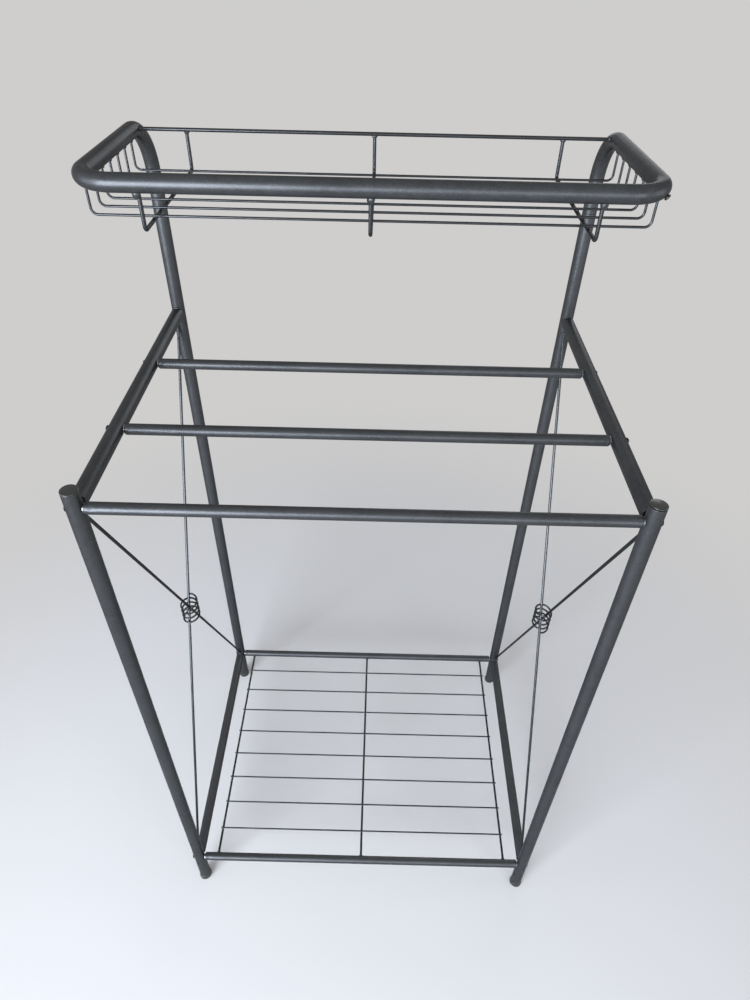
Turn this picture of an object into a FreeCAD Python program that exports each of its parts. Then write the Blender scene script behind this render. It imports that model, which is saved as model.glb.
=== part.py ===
import FreeCAD, Part
import Sketcher
import math
import os

# A free-standing rack of round steel tube: two side frames joined by three towel bars,
# a wire basket held by a bent top tube, and a low wire shelf.
# X runs from left to right, Y from front to back, Z up. The origin is on the floor,
# in the middle of the four feet.

sizes = [
    ("leg_spread", 560.0, "left leg axis to right leg axis"),
    ("frame_depth", 430.0, "front leg axis to rear upright axis"),
    ("arm_height", 1133.0, "axis of the top frame above the floor"),
    ("rail_height", 885.0, "axis of the side rails and towel bars above the floor"),
    ("lower_rail_height", 78.0, "axis of the lower rails above the floor"),
    ("leg_top_rise", 20.5, "side rail's axis up to the end of a front leg's tube"),
    ("joint_drop", 97.0, "arm axis down to where the top frame stands on the uprights"),
    ("top_reach", 253.0, "rear upright axis forward to the front tube's axis"),
    ("tube_diameter", 18.0, "legs, uprights, side rails and top frame"),
    ("tube_wall", 1.2, "their wall"),
    ("bar_diameter", 13.0, "towel bars and the lower front and rear rails"),
    ("bar_wall", 1.2, "their wall"),
    ("lower_rail_diameter", 16.0, "lower side rails"),
    ("lower_rail_wall", 1.2, "their wall"),
    ("corner_bend", 38.0, "centre-line radius of a front corner of the top frame"),
    ("rear_bend", 60.0, "centre-line radius of a rear bend of the top frame"),
    ("middle_bar_share", 0.31, "middle bar's place, as a share of the frame's depth"),
    ("rear_bar_share", 0.65, "rear bar's place, as a share of the frame's depth"),
    ("rear_wire_diameter", 4.2, "basket's rear wire"),
    ("rear_wire_setback", 48.0, "rear upright axis forward to the rear wire's axis"),
    ("cross_wire_diameter", 4.1, "basket's front-to-back wires"),
    ("cross_wire_bend", 5.0, "their bends, at the centre line"),
    ("cross_wire_inset", 62.0, "an arm's axis in to the outer cross wires"),
    ("basket_drop", 44.0, "arm axis down to the cross wires' axis"),
    ("long_wire_diameter", 2.7, "basket's side-to-side wires"),
    ("long_wire_bend", 6.5, "their bends, at the centre line"),
    ("long_wire_front_inset", 33.0, "front tube axis back to the first of them"),
    ("long_wire_rear_inset", 15.0, "rear wire axis forward to the last of them"),
    ("runner_diameter", 3.8, "front-to-back wires of the lower shelf"),
    ("runner_inset", 32.0, "a leg's axis in to the outer runners"),
    ("shelf_wire_diameter", 2.6, "side-to-side wires of the lower shelf"),
    ("shelf_wire_overhang", 3.0, "past the outer runners' axes"),
    ("brace_diameter", 4.0, "crossed rods of a side frame"),
    ("brace_top_gap", 8.0, "side rail's underside down to the end of a rod's axis"),
    ("brace_bottom_gap", 7.0, "lower side rail's top up to the end of a rod's axis"),
    ("coil_wire_diameter", 2.8, "wire wound round the crossing"),
    ("coil_pitch", 10.0, "rise of one turn"),
    ("coil_half_width", 12.5, "its centre line, out to either side of the rods"),
    ("foot_diameter", 21.0, "foot cap"),
    ("foot_height", 11.0, "floor to the end of the tube"),
    ("foot_rounding", 3.5, "lower edge of a foot"),
    ("foot_stem_length", 18.0, "stem inside the tube"),
    ("leg_cap_height", 2.5, "head of the plug on a front leg"),
    ("leg_cap_rounding", 1.4, "its upper edge"),
    ("leg_cap_stem_length", 14.0, "its stem inside the tube"),
    ("screw_diameter", 5.0, "all screws"),
    ("button_head_diameter", 8.0, "proud screw heads"),
    ("button_head_height", 3.0, "their height"),
    ("button_head_dome", 5.0, "radius of their dome"),
    ("low_head_diameter", 8.0, "low screw heads"),
    ("low_head_height", 1.0, "their height"),
    ("low_head_dome", 12.0, "radius of their dome"),
    ("socket_radius", 1.5, "hexagon socket, centre to corner"),
    ("button_socket_depth", 1.6, "in a proud head"),
    ("low_socket_depth", 0.7, "in a low head"),
    ("bar_screw_grip", 10.0, "length of a screw inside the bar's insert"),
    ("insert_length", 16.0, "threaded insert in a bar's end"),
    ("sleeve_length", 70.0, "sleeve inside an upright's joint"),
    ("sleeve_wall", 1.5, "its wall"),
    ("joint_screw_drop", 15.0, "joint down to the screw that holds the sleeve"),
    ("joint_screw_length", 8.0, "under its head"),
    ("vent_plug_diameter", 6.5, "plug under the right front corner"),
    ("vent_plug_height", 2.6, "its head"),
    ("vent_plug_dome", 4.2, "radius of its dome"),
    ("vent_stem_diameter", 4.0, "its stem"),
    ("vent_stem_length", 4.0, "its stem, under the head"),
    ("vent_plug_turn", 32.0, "end of an arm round the corner to the plug, in degrees"),
    ("vent_plug_angle", 36.0, "plug below level, in degrees round the tube"),
    ("seat_gap", 0.1, "between a welded or seated piece and what carries it"),
    ("slide_fit", 0.15, "all round a stem, sleeve or insert in its bore"),
    ("screw_clearance", 0.3, "all round a screw in its hole"),
    ("overrun", 4.0, "by which every cutter passes what it cuts"),
]

long_wire_count = 7
shelf_wire_count = 8
coil_turns = 4
sides = (("left", -1), ("right", 1))
whole_turn_degrees = 360
half_turn_degrees = 180
quarter_turn_degrees = 90
quarters_per_turn = 4
hexagon_side_count = 6
gap_sample_degrees = 6
sound_gap = 0.4

doc = FreeCAD.newDocument("shelf_rack")
sheet = doc.addObject("Spreadsheet::Sheet", "sizes")
for row, (alias, number, note) in enumerate(sizes, start=1):
    sheet.set(f"A{row}", note)
    sheet.set(f"B{row}", str(number))
    sheet.setAlias(f"B{row}", alias)
doc.recompute()

# Places that several pieces share, as expressions on the sheet
half_spread = "(sizes.leg_spread / 2)"
leg_top = "(sizes.rail_height + sizes.leg_top_rise)"
joint_height = "(sizes.arm_height - sizes.joint_drop)"
front_axis = "(-sizes.frame_depth / 2)"
rear_axis = "(sizes.frame_depth / 2)"
tube_radius = "(sizes.tube_diameter / 2)"
tube_bore = "(sizes.tube_diameter - 2 * sizes.tube_wall)"
bar_bore = "(sizes.bar_diameter - 2 * sizes.bar_wall)"
seat_diameter = "(sizes.tube_diameter + 2 * sizes.seat_gap)"
screw_hole = "(sizes.screw_diameter + 2 * sizes.screw_clearance)"
middle_bar_place = f"({front_axis} + sizes.middle_bar_share * sizes.frame_depth)"
rear_bar_place = f"({front_axis} + sizes.rear_bar_share * sizes.frame_depth)"
front_tube_place = f"({rear_axis} - sizes.top_reach)"
rear_wire_place = f"({rear_axis} - sizes.rear_wire_setback)"
cross_wire_height = "(sizes.arm_height - sizes.basket_drop)"

axes = {
    "x": FreeCAD.Vector(1, 0, 0),
    "y": FreeCAD.Vector(0, 1, 0),
    "z": FreeCAD.Vector(0, 0, 1),
}
upward = axes["z"]
sub_parts = []


def value(expression):
    """The number that an expression on the sheet gives now."""
    return float(sheet.evalExpression(expression))


def place(piece, x, y, z, turn=None):
    """Puts a piece's own origin at three expressions, after a fixed turn."""
    if turn is not None:
        piece.Placement = FreeCAD.Placement(FreeCAD.Vector(), turn)
    for letter, expression in zip("xyz", (x, y, z)):
        piece.setExpression(f"Placement.Base.{letter}", expression)


def moved(start, along, amount):
    """The place start, moved along an axis by an expression."""
    spot = list(start)
    index = "xyz".index(along)
    spot[index] = f"{spot[index]} + ({amount})"
    return tuple(spot)


def keep(piece, label):
    """Names a finished sub-part and lists it for export."""
    piece.Label = label
    sub_parts.append(piece)
    return piece


def round_bar(name, diameter, length, start, along="z"):
    """A round bar that runs from start along X, Y or Z."""
    bar = doc.addObject("Part::Cylinder", name)
    bar.setExpression("Radius", f"({diameter}) / 2")
    bar.setExpression("Height", length)
    place(bar, *start, FreeCAD.Rotation(upward, axes[along]))
    return bar


def quarter_ring(name, bend, diameter, centre, first, last):
    """A quarter of a ring, from the direction first to the direction last about its centre."""
    ring = doc.addObject("Part::Torus", name)
    ring.setExpression("Radius1", bend)
    ring.setExpression("Radius2", f"({diameter}) / 2")
    ring.Angle3 = quarter_turn_degrees
    place(ring, *centre, FreeCAD.Rotation(first, last, first.cross(last), "XYZ"))
    return ring


def fuse(name, pieces):
    """One solid out of several."""
    whole = doc.addObject("Part::MultiFuse", name)
    whole.Shapes = pieces
    whole.Refine = True
    return whole


def cut(name, base, cutters):
    """A base less its cutters."""
    rest = doc.addObject("Part::Cut", name)
    rest.Base = base
    rest.Tool = cutters[0] if len(cutters) == 1 else fuse(f"{name}_cutters", cutters)
    return rest


def tube(name, diameter, wall, length, start, along="z", cutters=()):
    """A straight tube, less whatever else is cut out of it."""
    outside = round_bar(f"{name}_outside", diameter, length, start, along)
    bore_start = moved(start, along, "-sizes.overrun")
    bore_length = f"{length} + 2 * sizes.overrun"
    bore = round_bar(f"{name}_bore", f"{diameter} - 2 * {wall}", bore_length, bore_start, along)
    return cut(name, outside, [bore, *cutters])


def cross_hole(name, diameter, x, y, z):
    """A hole along X, right through a tube whose axis is at x."""
    start = (f"{x} - {tube_radius} - sizes.overrun", y, z)
    return round_bar(name, diameter, "sizes.tube_diameter + 2 * sizes.overrun", start, "x")


# Turned pieces: feet, plugs and screws

def turned_outline(body, name, corners):
    """A closed outline of (radius, height) corners, each an expression or zero, on X and Z."""
    sketch = body.newObject("Sketcher::SketchObject", name)
    plane = next(item for item in body.Origin.OriginFeatures if item.Role == "XZ_Plane")
    sketch.AttachmentSupport = (plane, [""])
    sketch.MapMode = "FlatFace"
    points = [FreeCAD.Vector(value(str(r)), value(str(h)), 0) for r, h in corners]
    for index, point in enumerate(points):
        sketch.addGeometry(Part.LineSegment(point, points[(index + 1) % len(points)]))
    for index, (r, h) in enumerate(corners):
        follower = (index + 1) % len(corners)
        sketch.addConstraint(Sketcher.Constraint("Coincident", index, 2, follower, 1))
        for kind, expression, axis in (("DistanceX", r, -2), ("DistanceY", h, -1)):
            if expression == 0:
                sketch.addConstraint(Sketcher.Constraint("PointOnObject", index, 1, axis))
            else:
                limit = Sketcher.Constraint(kind, -1, 1, index, 1, value(expression))
                number = sketch.addConstraint(limit)
                sketch.setExpression(f"Constraints[{number}]", expression)
    return sketch


def plug(name, head_diameter, head_height, rounding, stem_length, spot, turn=None):
    """A round head with one rounded edge, and a stem that fits the bore of a tube."""
    head_radius = f"{head_diameter} / 2"
    stem_radius = f"{tube_bore} / 2 - sizes.slide_fit"
    top = f"{head_height} + {stem_length}"
    corners = [(0, 0), (head_radius, 0), (head_radius, head_height), (stem_radius, head_height),
               (stem_radius, top), (0, top)]
    body = doc.addObject("PartDesign::Body", name)
    outline = turned_outline(body, f"{name}_outline", corners)
    turning = body.newObject("PartDesign::Revolution", f"{name}_turning")
    turning.Profile = outline
    turning.ReferenceAxis = (outline, ["V_Axis"])
    turning.Angle = whole_turn_degrees
    doc.recompute()
    lower = [f"Edge{number}" for number, edge in enumerate(turning.Shape.Edges, start=1)
             if isinstance(edge.Curve, Part.Circle)
             and edge.BoundBox.ZMax < value(f"{head_height} / 2")]
    edge_round = body.newObject("PartDesign::Fillet", f"{name}_rounding")
    edge_round.Base = (turning, lower)
    edge_round.setExpression("Radius", rounding)
    place(body, *spot, turn)
    return keep(body, name)


def screw(name, head, shank_diameter, shank_length, socket_depth, spot, heading):
    """A domed screw. Its head is a name on the sheet, and it stands out from spot along heading."""
    height = f"sizes.{head}_height"
    dome = f"sizes.{head}_dome"
    blank = round_bar(f"{name}_blank", f"sizes.{head}_diameter", height, ("0", "0", "0"))
    ball = doc.addObject("Part::Sphere", f"{name}_ball")
    ball.setExpression("Radius", dome)
    place(ball, "0", "0", f"{height} - {dome}")
    domed = doc.addObject("Part::MultiCommon", f"{name}_domed")
    domed.Shapes = [blank, ball]
    length = f"{shank_length} + {height} / 2"
    shank = round_bar(f"{name}_shank", shank_diameter, length, ("0", "0", f"-({shank_length})"))
    whole = fuse(f"{name}_whole", [domed, shank])
    finished = whole
    if socket_depth is not None:
        socket = doc.addObject("Part::Prism", f"{name}_socket")
        socket.Polygon = hexagon_side_count
        socket.setExpression("Circumradius", "sizes.socket_radius")
        socket.setExpression("Height", f"{socket_depth} + sizes.overrun")
        place(socket, "0", "0", f"{height} - {socket_depth}")
        finished = cut(f"{name}_finished", whole, [socket])
    place(finished, *spot, FreeCAD.Rotation(upward, heading))
    return finished


def group(name, pieces):
    """Identical separate solids under one name."""
    together = doc.addObject("Part::Compound", name)
    together.Links = pieces
    return keep(together, name)


# Side frames

leg_seats = {}
upright_seats = {}


def side_frame_seats(side, hand):
    """The room that a leg and an upright take, which the pieces welded to them are shaped to."""
    x = f"{hand} * {half_spread}"
    leg_seats[side] = round_bar(f"leg_seat_{side}", seat_diameter, "sizes.arm_height",
                                (x, front_axis, "0"))
    upright_seats[side] = round_bar(f"upright_seat_{side}", seat_diameter, "sizes.arm_height",
                                    (x, rear_axis, "0"))


def feet_and_caps(side, hand):
    """Two feet under a side frame and the plug on top of its front leg."""
    x = f"{hand} * {half_spread}"
    for end, y in (("front", front_axis), ("rear", rear_axis)):
        plug(f"foot_{end}_{side}", "sizes.foot_diameter", "sizes.foot_height", "sizes.foot_rounding",
             "sizes.foot_stem_length", (x, y, "0"))
    top = f"{leg_top} + sizes.leg_cap_height"
    plug(f"front_leg_cap_{side}", "sizes.tube_diameter", "sizes.leg_cap_height",
         "sizes.leg_cap_rounding", "sizes.leg_cap_stem_length", (x, front_axis, top),
         FreeCAD.Rotation(axes["x"], half_turn_degrees))


def front_leg(side, hand):
    """A front leg, from its foot to its plug, with the screw holes of two bars."""
    x = f"{hand} * {half_spread}"
    name = f"front_leg_{side}"
    holes = [cross_hole(f"{name}_bar_hole", screw_hole, x, front_axis, "sizes.rail_height"),
             cross_hole(f"{name}_lower_hole", screw_hole, x, front_axis, "sizes.lower_rail_height")]
    length = f"{leg_top} - sizes.foot_height"
    keep(tube(name, "sizes.tube_diameter", "sizes.tube_wall", length,
              (x, front_axis, "sizes.foot_height"), "z", holes), name)


def rear_upright(side, hand):
    """A rear upright, from its foot to the joint with the top frame."""
    x = f"{hand} * {half_spread}"
    name = f"rear_upright_{side}"
    screw_height = f"{joint_height} - sizes.joint_screw_drop"
    hole_length = f"{tube_radius} + sizes.overrun"
    holes = [cross_hole(f"{name}_lower_hole", screw_hole, x, rear_axis, "sizes.lower_rail_height"),
             round_bar(f"{name}_joint_hole", screw_hole, hole_length, (x, rear_axis, screw_height), "y")]
    length = f"{joint_height} - sizes.foot_height"
    keep(tube(name, "sizes.tube_diameter", "sizes.tube_wall", length,
              (x, rear_axis, "sizes.foot_height"), "z", holes), name)


def upright_sleeve(side, hand):
    """The sleeve inside an upright's joint, half of it above the joint."""
    x = f"{hand} * {half_spread}"
    name = f"upright_sleeve_{side}"
    screw_height = f"{joint_height} - sizes.joint_screw_drop"
    hole = round_bar(f"{name}_hole", screw_hole, tube_radius, (x, rear_axis, screw_height), "y")
    start = (x, rear_axis, f"{joint_height} - sizes.sleeve_length / 2")
    keep(tube(name, f"({tube_bore} - 2 * sizes.slide_fit)", "sizes.sleeve_wall",
              "sizes.sleeve_length", start, "z", [hole]), name)


def side_rail(side, hand):
    """The rail that carries the towel bars, shaped at both ends to the leg and the upright."""
    x = f"{hand} * {half_spread}"
    name = f"side_rail_{side}"
    bar_places = (("front", front_axis), ("middle", middle_bar_place), ("rear", rear_bar_place))
    holes = [cross_hole(f"{name}_{where}_hole", screw_hole, x, y, "sizes.rail_height")
             for where, y in bar_places]
    cutters = [leg_seats[side], upright_seats[side], *holes]
    keep(tube(name, "sizes.tube_diameter", "sizes.tube_wall", "sizes.frame_depth",
              (x, front_axis, "sizes.rail_height"), "y", cutters), name)


def lower_side_rail(side, hand):
    """The thinner rail near the floor."""
    x = f"{hand} * {half_spread}"
    name = f"lower_side_rail_{side}"
    keep(tube(name, "sizes.lower_rail_diameter", "sizes.lower_rail_wall", "sizes.frame_depth",
              (x, front_axis, "sizes.lower_rail_height"), "y",
              [leg_seats[side], upright_seats[side]]), name)


# Crossed rods. Seen from the side they cross halfway, side by side, and each end stops at a tube.
brace_top = f"(sizes.rail_height - {tube_radius} - sizes.brace_top_gap)"
brace_bottom = ("(sizes.lower_rail_height + sizes.lower_rail_diameter / 2"
                " + sizes.brace_bottom_gap)")
brace_rise = f"({brace_top} - {brace_bottom})"
brace_run = "(sizes.frame_depth - sizes.tube_diameter)"
brace_lean = f"atan({brace_run} / {brace_rise})"
crossing_height = f"({brace_top} + {brace_bottom}) / 2"
brace_offset = "(sizes.brace_diameter + sizes.seat_gap) / 2"


def brace_rod(side, hand, kind, lean_sign):
    """A rod that leans by lean_sign: plus one is high at the front, minus one high at the back."""
    name = f"brace_rod_{kind}_{side}"
    rod = doc.addObject("Part::Cylinder", f"{name}_blank")
    rod.setExpression("Radius", "sizes.brace_diameter / 2")
    rod.setExpression("Height", f"sizes.frame_depth / sin({brace_lean})")
    tilt = FreeCAD.Rotation(axes["x"], quarter_turn_degrees)
    rod.Placement = FreeCAD.Placement(FreeCAD.Vector(), tilt)
    rod.setExpression("Placement.Rotation.Angle", f"{lean_sign} * {brace_lean}")
    low_end = f"{crossing_height} - sizes.frame_depth / 2 * {brace_rise} / {brace_run}"
    place(rod, f"{hand} * {half_spread} + {lean_sign} * {brace_offset}",
          f"{lean_sign} * {rear_axis}", low_end)
    keep(cut(name, rod, [leg_seats[side], upright_seats[side]]), name)


def helix_point(half_width, half_depth, pitch, angle):
    """A point of a right-handed oval helix about Z, level with the origin at angle zero."""
    return FreeCAD.Vector(half_width * math.cos(angle), half_depth * math.sin(angle),
                          pitch * angle / math.tau)


def helix_tangent(half_width, half_depth, slope, angle):
    """The direction of that helix. Slope is its rise per radian."""
    return FreeCAD.Vector(-half_width * math.sin(angle), half_depth * math.cos(angle), slope).normalize()


def arc_with_tangent(start, tangent, end):
    """An arc from start along a tangent to end: its middle lies off the chord by the sagitta."""
    chord = end - start
    half = chord.Length / 2
    sideways = tangent - chord * (tangent.dot(chord) / chord.dot(chord))
    turn = tangent.getAngle(chord)
    middle = start + chord / 2 + sideways.normalize() * (half * math.tan(turn / 2))
    return Part.Arc(start, middle, end)


def biarc(start, start_tangent, end, end_tangent):
    """Two arcs that meet smoothly between two points with given tangents."""
    reach = end - start
    pull = start_tangent + end_tangent
    a = 2 * (1 - start_tangent.dot(end_tangent))
    b = 2 * reach.dot(pull)
    c = -reach.dot(reach)
    leg = (-b + math.sqrt(b * b - 4 * a * c)) / (2 * a)
    first_corner = start + start_tangent * leg
    second_corner = end - end_tangent * leg
    joint = (first_corner + second_corner) / 2
    joint_tangent = (second_corner - first_corner).normalize()
    return [arc_with_tangent(start, start_tangent, joint),
            arc_with_tangent(joint, joint_tangent, end)]


def coil_path():
    """The centre line of a coil about Z: quarter turns as biarcs, and a straight run at each end.

    Both ends lie behind the rods, where these are furthest apart, and that sets its depth.
    """
    wire = value("sizes.coil_wire_diameter")
    pitch = value("sizes.coil_pitch")
    half_width = value("sizes.coil_half_width")
    half_height = coil_turns * pitch / 2
    lean = math.radians(value(brace_lean))
    rod_reach = half_height * math.tan(lean)
    clear = (value("sizes.brace_diameter") + wire) / 2 + value("sizes.seat_gap")
    half_depth = rod_reach + clear / math.cos(lean)
    quarter = math.pi / 2
    slope = pitch / math.tau
    steps = round(coil_turns * quarters_per_turn)
    angles = [quarter + (step - steps) * quarter for step in range(steps + 1)]
    lift = FreeCAD.Vector(0, 0, half_height - slope * quarter)
    points = [helix_point(half_width, half_depth, pitch, angle) + lift for angle in angles]
    tangents = [helix_tangent(half_width, half_depth, slope, angle) for angle in angles]
    for end in (0, -1):
        tangents[end] = helix_tangent(half_width, half_depth, 0, angles[end])
    edges = [Part.LineSegment(points[0] - tangents[0] * wire, points[0])]
    for step in range(steps):
        edges += biarc(points[step], tangents[step], points[step + 1], tangents[step + 1])
    edges.append(Part.LineSegment(points[-1], points[-1] + tangents[-1] * wire))
    return edges, wire, half_width, half_depth


def least_gap(edges, wire, half_turn):
    """The least room between one stretch of the wire and any stretch half a turn or more along."""
    path = Part.Wire([edge.toShape() for edge in edges])
    spots = path.discretize(Number=round(coil_turns * whole_turn_degrees / gap_sample_degrees))
    apart = round(half_turn / (path.Length / len(spots)))
    gaps = [(spots[i] - spots[j]).Length - wire
            for i in range(len(spots)) for j in range(i + apart, len(spots))]
    return min(gaps)


def brace_coil(side, hand, turn):
    """The wire wound round the crossing, one unbroken tube swept along its centre line."""
    name = f"brace_coil_{side}"
    edges, wire, half_width, half_depth = coil_path()
    path = Part.Wire([edge.toShape() for edge in edges])
    start = path.OrderedVertexes[0].Point
    heading = path.OrderedEdges[0].tangentAt(path.OrderedEdges[0].FirstParameter)
    section = Part.Wire([Part.Circle(start, heading, wire / 2).toShape()])
    coil = doc.addObject("Part::Feature", name)
    coil.Shape = path.makePipeShell([section], True, False)
    place(coil, f"{hand} * {half_spread}", "0", crossing_height, turn)
    gap = least_gap(edges, wire, math.pi * (half_width + half_depth) / 2)
    print(f"{name}: centre line {half_width:.2f} by {half_depth:.2f} mm from its middle,"
          f" least gap to itself {gap:.2f} mm")
    if gap < sound_gap:
        raise SystemExit(f"{name} comes too near to itself")
    keep(coil, name)


# Bars across the rack. Each butts on the crown of a leg or rail and is screwed into its inserts.
button = "button_head"
low = "low_head"
bars = [
    ("front_bar", front_axis, "sizes.rail_height", {"left": low, "right": low}),
    ("middle_bar", middle_bar_place, "sizes.rail_height", {"left": button, "right": button}),
    ("rear_bar", rear_bar_place, "sizes.rail_height", {"left": low, "right": low}),
    ("lower_front_rail", front_axis, "sizes.lower_rail_height", {"left": button, "right": low}),
    ("lower_rear_rail", rear_axis, "sizes.lower_rail_height", {"left": low, "right": low}),
]
bar_end = f"({half_spread} - {tube_radius} - sizes.seat_gap)"
socket_depths = {button: "sizes.button_socket_depth", low: "sizes.low_socket_depth"}


def cross_bars():
    """The five bars, an insert in each of their ends, and the screws from outside."""
    inserts = []
    screws = {button: [], low: []}
    for name, y, z, heads in bars:
        keep(tube(name, "sizes.bar_diameter", "sizes.bar_wall", f"2 * {bar_end}",
                  (f"-{bar_end}", y, z), "x"), name)
        for side, hand in sides:
            inner = f"{bar_end} - sizes.insert_length"
            insert_start = f"-{bar_end}" if hand < 0 else inner
            size = f"({bar_bore} - 2 * sizes.slide_fit)"
            thread_wall = f"({size} - {screw_hole}) / 2"
            inserts.append(tube(f"{name}_insert_{side}", size, thread_wall, "sizes.insert_length",
                                (insert_start, y, z), "x"))
            head = heads[side]
            outer = f"{hand} * ({half_spread} + {tube_radius})"
            length = "sizes.tube_diameter + sizes.seat_gap + sizes.bar_screw_grip"
            screws[head].append(screw(f"{name}_screw_{side}", head, "sizes.screw_diameter", length,
                                      socket_depths[head], (outer, y, z), axes["x"] * hand))
    group("bar_end_inserts", inserts)
    group("bar_button_screws", screws[button])
    group("bar_low_screws", screws[low])


def joint_screws():
    """A low screw through the back of each upright into its sleeve."""
    screws = []
    for side, hand in sides:
        spot = (f"{hand} * {half_spread}", f"{rear_axis} + {tube_radius}",
                f"{joint_height} - sizes.joint_screw_drop")
        screws.append(screw(f"joint_screw_{side}", low, "sizes.screw_diameter",
                            "sizes.joint_screw_length", socket_depths[low], spot, axes["y"]))
    group("upright_joint_screws", screws)


# Top frame

arm_length = "sizes.top_reach - sizes.corner_bend - sizes.rear_bend"
corner_place = f"{front_tube_place} + sizes.corner_bend"


def top_run(name, diameter, extra):
    """The whole run of the top frame as one round bar, its two ends longer by extra."""
    corner_x = f"({half_spread} - sizes.corner_bend)"
    bend_y = f"{rear_axis} - sizes.rear_bend"
    bend_z = "sizes.arm_height - sizes.rear_bend"
    end_z = f"{joint_height} - {extra}"
    pieces = [round_bar(f"{name}_front", diameter, f"2 * {corner_x}",
                        (f"-{corner_x}", front_tube_place, "sizes.arm_height"), "x")]
    for side, hand in sides:
        x = f"{hand} * {half_spread}"
        pieces.append(quarter_ring(f"{name}_corner_{side}", "sizes.corner_bend", diameter,
                                   (f"{hand} * {corner_x}", corner_place, "sizes.arm_height"),
                                   -axes["y"], axes["x"] * hand))
        pieces.append(round_bar(f"{name}_arm_{side}", diameter, arm_length,
                                (x, corner_place, "sizes.arm_height"), "y"))
        pieces.append(quarter_ring(f"{name}_bend_{side}", "sizes.rear_bend", diameter,
                                   (x, bend_y, bend_z), axes["z"], axes["y"]))
        pieces.append(round_bar(f"{name}_leg_{side}", diameter, f"{bend_z} - ({end_z})",
                                (x, rear_axis, end_z)))
    return fuse(name, pieces)


# The vent plug sits low on the outside of the right front corner.
vent_turn = "sizes.vent_plug_turn"
vent_centre = (f"{half_spread} - sizes.corner_bend + sizes.corner_bend * cos({vent_turn})",
               f"{corner_place} - sizes.corner_bend * sin({vent_turn})", "sizes.arm_height")
vent_level = f"{tube_radius} * cos(sizes.vent_plug_angle)"
vent_spot = (f"{vent_centre[0]} + {vent_level} * cos({vent_turn})",
             f"{vent_centre[1]} - {vent_level} * sin({vent_turn})",
             f"{vent_centre[2]} - {tube_radius} * sin(sizes.vent_plug_angle)")


def top_frame():
    """The bent tube that carries the basket, and the plug in its vent hole."""
    name = "top_frame_tube"
    below = math.radians(value("sizes.vent_plug_angle"))
    round_corner = math.radians(value(vent_turn))
    outward = FreeCAD.Vector(math.cos(below) * math.cos(round_corner),
                             -math.cos(below) * math.sin(round_corner), -math.sin(below))
    hole = round_bar("vent_hole", "sizes.vent_stem_diameter + 2 * sizes.slide_fit",
                     f"{tube_radius} + sizes.overrun", ("0", "0", "0"))
    place(hole, *vent_centre, FreeCAD.Rotation(upward, outward))
    outside = top_run(f"{name}_outside", "sizes.tube_diameter", "0")
    bore = top_run(f"{name}_bore", tube_bore, "sizes.overrun")
    keep(cut(name, outside, [bore, hole]), name)
    keep(screw("corner_vent_plug", "vent_plug", "sizes.vent_stem_diameter", "sizes.vent_stem_length",
               None, vent_spot, outward), "corner_vent_plug")


# Basket and lower shelf

def u_wire(name, diameter, bend, along, ends, across, low_height, tops):
    """A wire that runs level along X or Y and turns up at both ends, with flat tips."""
    direction = axes[along]
    first, last = ends

    def at(position, height):
        return (position, across, height) if along == "x" else (across, position, height)

    floor = f"{low_height} + {bend}"
    pieces = [
        round_bar(f"{name}_level", diameter, f"({last}) - ({first}) - 2 * {bend}",
                  at(f"{first} + {bend}", low_height), along),
        quarter_ring(f"{name}_first_bend", bend, diameter, at(f"{first} + {bend}", floor),
                     -direction, -upward),
        quarter_ring(f"{name}_last_bend", bend, diameter, at(f"{last} - {bend}", floor),
                     -upward, direction),
        round_bar(f"{name}_first_rise", diameter, f"{tops[0]} - ({floor})", at(first, floor)),
        round_bar(f"{name}_last_rise", diameter, f"{tops[1]} - ({floor})", at(last, floor)),
    ]
    return keep(fuse(name, pieces), name)


def basket():
    """Rear wire, three cross wires under it and the front tube, and the long wires on them."""
    under_tube = f"sizes.arm_height - {tube_radius} - sizes.seat_gap"
    under_wire = "sizes.arm_height - sizes.rear_wire_diameter / 2 - sizes.seat_gap"
    rear_wire = round_bar("basket_rear_wire", "sizes.rear_wire_diameter", f"2 * {bar_end}",
                          (f"-{bar_end}", rear_wire_place, "sizes.arm_height"), "x")
    keep(rear_wire, "basket_rear_wire")
    outer = f"({half_spread} - sizes.cross_wire_inset)"
    for where, x in (("left", f"-{outer}"), ("centre", "0"), ("right", outer)):
        u_wire(f"basket_cross_wire_{where}", "sizes.cross_wire_diameter", "sizes.cross_wire_bend", "y",
               (front_tube_place, rear_wire_place), x, cross_wire_height, (under_tube, under_wire))
    stack = "(sizes.cross_wire_diameter + sizes.long_wire_diameter) / 2 + sizes.seat_gap"
    long_height = f"{cross_wire_height} + {stack}"
    first = f"{front_tube_place} + sizes.long_wire_front_inset"
    room = f"({rear_wire_place} - sizes.long_wire_rear_inset - ({first}))"
    for number in range(long_wire_count):
        y = f"{first} + {number} * {room} / {long_wire_count - 1}"
        u_wire(f"basket_long_wire_{number + 1}", "sizes.long_wire_diameter", "sizes.long_wire_bend",
               "x", (f"-{half_spread}", half_spread), y, long_height, (under_tube, under_tube))


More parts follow.
